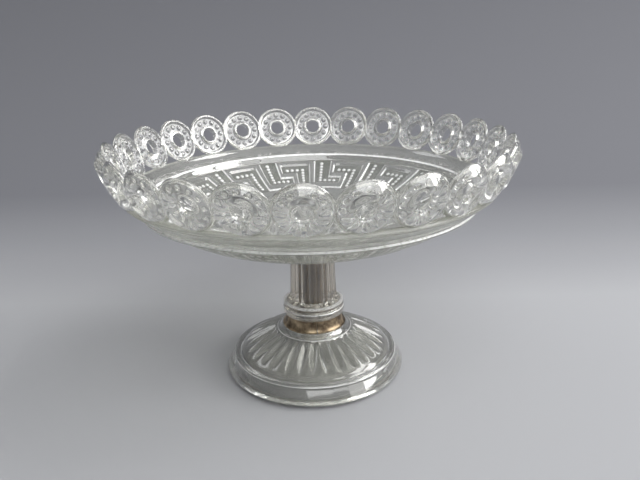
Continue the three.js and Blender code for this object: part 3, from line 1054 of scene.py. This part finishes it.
def rim_of_discs(sizes):
    """One openwork disc with its beads, cut at the half pitch on both sides and copied round."""
    outer = [
        (DISC_RADIUS, -1.6), (13.5, -1.2), (13.2, -0.7), (12.5, 0.15), (11.7, 1.1), (10.9, 1.95),
        (10.1, 2.75), (9.3, 3.4), (8.4, 3.75), (7.5, 3.75), (6.6, 3.4), (5.7, 2.8), (4.9, 2.1),
        (4.4, 1.4), (DISC_HOLE, 0.8)]
    border = [(13.5, 1.7), (13.25, 2.2), (12.8, 2.47), (12.2, 2.5), (11.6, 2.3), (11.25, 1.85),
              (11.05, 1.3)]
    field = [(radius, DISC_FIELD) for radius in (FIELD_OUTER, 9.85, BEAD_CIRCLE, 7.75, FIELD_INNER)]
    hole_edge = [(6.45, 1.3), (5.9, 1.9), (5.4, 2.3), (4.95, 2.45), (4.5, 2.2), (4.25, 1.7),
                 (DISC_HOLE, 1.0)]
    inner = [(radius, -depth) for radius, depth in border + field + hole_edge]
    obj = turned("rim_discs", [*outer, *reversed(inner), outer[0]], DISC_STEPS)
    edit(obj)
    for index in range(BEAD_COUNT):
        raise_disc_bead(obj, TURN * index / BEAD_COUNT, sizes)
    bpy.ops.object.mode_set(mode="OBJECT")
    obj.matrix_world = disc_place()
    bpy.ops.object.transform_apply(location=True, rotation=True, scale=True)
    edit(obj)
    half = math.pi / DISC_COUNT
    for side in (-1, 1):
        bpy.ops.mesh.select_all(action="SELECT")
        normal = (-math.sin(side * half) * side, math.cos(side * half) * side, 0)
        bpy.ops.mesh.bisect(plane_co=(0, 0, 0), plane_no=normal, clear_outer=True, use_fill=False,
                            threshold=CUT_GAP * MM)
    bpy.ops.object.mode_set(mode="OBJECT")
    obj.rotation_euler.z = math.pi / 2
    bpy.ops.object.transform_apply(location=True, rotation=True, scale=True)
    edit(obj)
    copy_round(DISC_COUNT)
    finish_mesh(obj, "rim_discs")
    return obj


class DISH_OT_bowl(bpy.types.Operator):
    """Bowl: the saucer with its key pattern, step and ledge, and the fused rim of openwork discs"""
    bl_idname = "candy_dish.bowl"
    bl_label = "Bowl"

    def execute(self, context):
        sizes = context.scene.dish_sizes
        rim = rim_of_discs(sizes)
        obj = saucer(sizes)
        clear_selection()
        obj.select_set(True)
        bpy.context.view_layer.objects.active = obj
        union = obj.modifiers.new("union", "BOOLEAN")
        union.operation = "UNION"
        union.solver = "EXACT"
        union.object = rim
        bpy.ops.object.modifier_apply(modifier=union.name)
        bpy.data.objects.remove(rim)
        bpy.ops.object.shade_smooth_by_angle(angle=math.radians(SMOOTH_ANGLE))
        finish = context.scene.dish_finish
        glass = pressed_glass("pressed_glass_bowl", finish.glass_tint,
                              ripple=0.07, roughness=0.03, haze=0.02)
        settle(obj, ["bowl"], glass)
        # The key's sunk bands get painted shade, as darker mottled glass.
        add_finish(obj, band_shade_glass(finish),
                   lambda face: in_sunk_band(face, -KEY_GROUND, KEY_GROUND))
        # The key's walls and the beads in its bands get a painted white highlight.
        add_finish(obj, painted_edge_highlight("painted_key_highlight", finish, clear=0.45),
                   lambda face: in_sunk_band(face, KEY_GROUND, 2.0) or on_key_wall(face))
        # The lines along the step and the shoulder get a painted white highlight, whitest of all.
        add_finish(obj, painted_edge_highlight("painted_step_highlight", finish, clear=0.0),
                   lambda face: near_ring(face, (STEP_LINE, SHOULDER_LINE)))
        add_finish(obj, stippled_field(finish), on_disc_field)
        add_finish(obj, dulled_glass(finish), on_saucer_outside)
        return {"FINISHED"}


# Stage.


def soft_light(name, azimuth, elevation, width, height, radiance, colour):
    """An area light that faces the dish."""
    a, e = math.radians(azimuth), math.radians(elevation)
    way = Vector((math.cos(a) * math.cos(e), math.sin(a) * math.cos(e), math.sin(e)))
    light = bpy.data.lights.new(name, "AREA")
    light.shape = "RECTANGLE"
    light.size, light.size_y = width, height
    light.energy = radiance * math.pi * width * height
    light.color = colour
    obj = bpy.data.objects.new(name, light)
    bpy.context.scene.collection.objects.link(obj)
    obj.location = Vector((0, 0, LIGHT_AIM)) + way * LIGHT_DISTANCE
    obj.rotation_euler = way.to_track_quat("Z", "Y").to_euler()


class DISH_OT_stage(bpy.types.Operator):
    """Stage: a paper sweep, soft studio lights and the camera"""
    bl_idname = "candy_dish.stage"
    bl_label = "Stage"

    def execute(self, context):
        scene = context.scene
        clear_selection()
        bpy.ops.mesh.primitive_plane_add(size=FLOOR_SIZE,
                                         location=(0, SWEEP_START - FLOOR_SIZE / 2, -FLOOR_DROP))
        floor = bpy.context.object
        bpy.ops.object.transform_apply(location=True, rotation=True, scale=True)
        edit(floor)
        select(floor, "EDGE", lambda e: all(v.co.y > 0 for v in e.verts))
        bends = [math.radians(90 / SWEEP_STEPS * i) for i in range(SWEEP_STEPS + 1)]
        for a, b in zip(bends, bends[1:]):
            bpy.ops.mesh.extrude_edges_move(TRANSFORM_OT_translate={
                "value": (0, SWEEP_RADIUS * (math.sin(b) - math.sin(a)),
                          SWEEP_RADIUS * (math.cos(a) - math.cos(b)))})
        finish_mesh(floor, "paper_sweep", smooth=40)
        floor.data.materials.append(matt_paper(scene.dish_finish))

        for light in LIGHTS:
            soft_light(*light)

        world = bpy.data.worlds.new("studio_room")
        world.use_nodes = True
        world.node_tree.nodes.clear()
        way = add_node(world, "ShaderNodeTexCoord").outputs["Generated"]
        height = add_node(world, "ShaderNodeSeparateXYZ", {"Vector": way}).outputs["Z"]
        walls = add_node(world, "ShaderNodeValToRGB", {"Fac": height})
        set_ramp(walls, [(place, hex_colour(grey)) for place, grey in ROOM_GREYS])
        side = add_node(world, "ShaderNodeSeparateXYZ", {"Vector": way}).outputs["X"]
        level = add_node(world, "ShaderNodeMapRange", {
            "Value": side, "From Min": -1, "From Max": 1, "To Min": ROOM_LEFT,
            "To Max": ROOM_RIGHT})
        background = add_node(world, "ShaderNodeBackground", {
            "Color": walls.outputs["Color"], "Strength": level.outputs["Result"]})
        add_node(world, "ShaderNodeOutputWorld", {"Surface": background.outputs["Background"]})
        scene.world = world

        camera = bpy.data.cameras.new("photo_camera")
        camera.sensor_width = SENSOR_WIDTH
        camera.lens = FOCAL_PIXELS * SENSOR_WIDTH / FRAME_PIXELS
        eye = bpy.data.objects.new("photo_camera", camera)
        scene.collection.objects.link(eye)
        yaw, pitch = CAMERA_YAW, CAMERA_PITCH
        right = Vector((math.cos(yaw), math.sin(yaw), 0))
        forward = Vector((-math.sin(yaw) * math.cos(pitch), math.cos(yaw) * math.cos(pitch),
                          -math.sin(pitch)))
        up = right.cross(forward)
        tilt = CAMERA_ROLL
        axes = (math.cos(tilt) * right - math.sin(tilt) * up,
                math.sin(tilt) * right + math.cos(tilt) * up, -forward)
        turn = Matrix.Rotation(CAMERA_AZIMUTH, 3, "Z")
        eye.matrix_world = Matrix.LocRotScale(
            turn @ Vector((0, -CAMERA_DISTANCE, CAMERA_HEIGHT)) * MM,
            (turn @ Matrix(axes).transposed()).to_quaternion(), None)
        scene.camera = eye
        scene.view_settings.view_transform = "Standard"
        scene.cycles.max_bounces = GLASS_BOUNCES
        scene.cycles.transmission_bounces = GLASS_BOUNCES
        scene.cycles.glossy_bounces = GLOSSY_BOUNCES
        return {"FINISHED"}


class DISH_PT_panel(bpy.types.Panel):
    """Lists the dish's pieces"""
    bl_label = "Candy Dish"
    bl_idname = "DISH_PT_panel"
    bl_space_type = "VIEW_3D"
    bl_region_type = "UI"
    bl_category = "Candy Dish"

    def draw(self, context):
        for group in (context.scene.dish_sizes, context.scene.dish_finish):
            for name in group.__annotations__:
                self.layout.prop(group, name)
        for operator in PIECES:
            self.layout.operator(operator.bl_idname)


PIECES = (DISH_OT_foot, DISH_OT_cement, DISH_OT_ferrule, DISH_OT_stem, DISH_OT_wafer, DISH_OT_bowl,
          DISH_OT_stage)
CLASSES = (DishSizes, DishFinish, *PIECES, DISH_PT_panel)


def register():
    for made in CLASSES:
        bpy.utils.register_class(made)
    bpy.types.Scene.dish_sizes = bpy.props.PointerProperty(type=DishSizes)
    bpy.types.Scene.dish_finish = bpy.props.PointerProperty(type=DishFinish)


def unregister():
    del bpy.types.Scene.dish_finish
    del bpy.types.Scene.dish_sizes
    for made in reversed(CLASSES):
        bpy.utils.unregister_class(made)


def main():
    register()
    bpy.ops.candy_dish.foot()
    bpy.ops.candy_dish.cement()
    bpy.ops.candy_dish.ferrule()
    bpy.ops.candy_dish.stem()
    bpy.ops.candy_dish.wafer()
    bpy.ops.candy_dish.bowl()
    bpy.ops.candy_dish.stage()


if __name__ == "__main__":
    main()
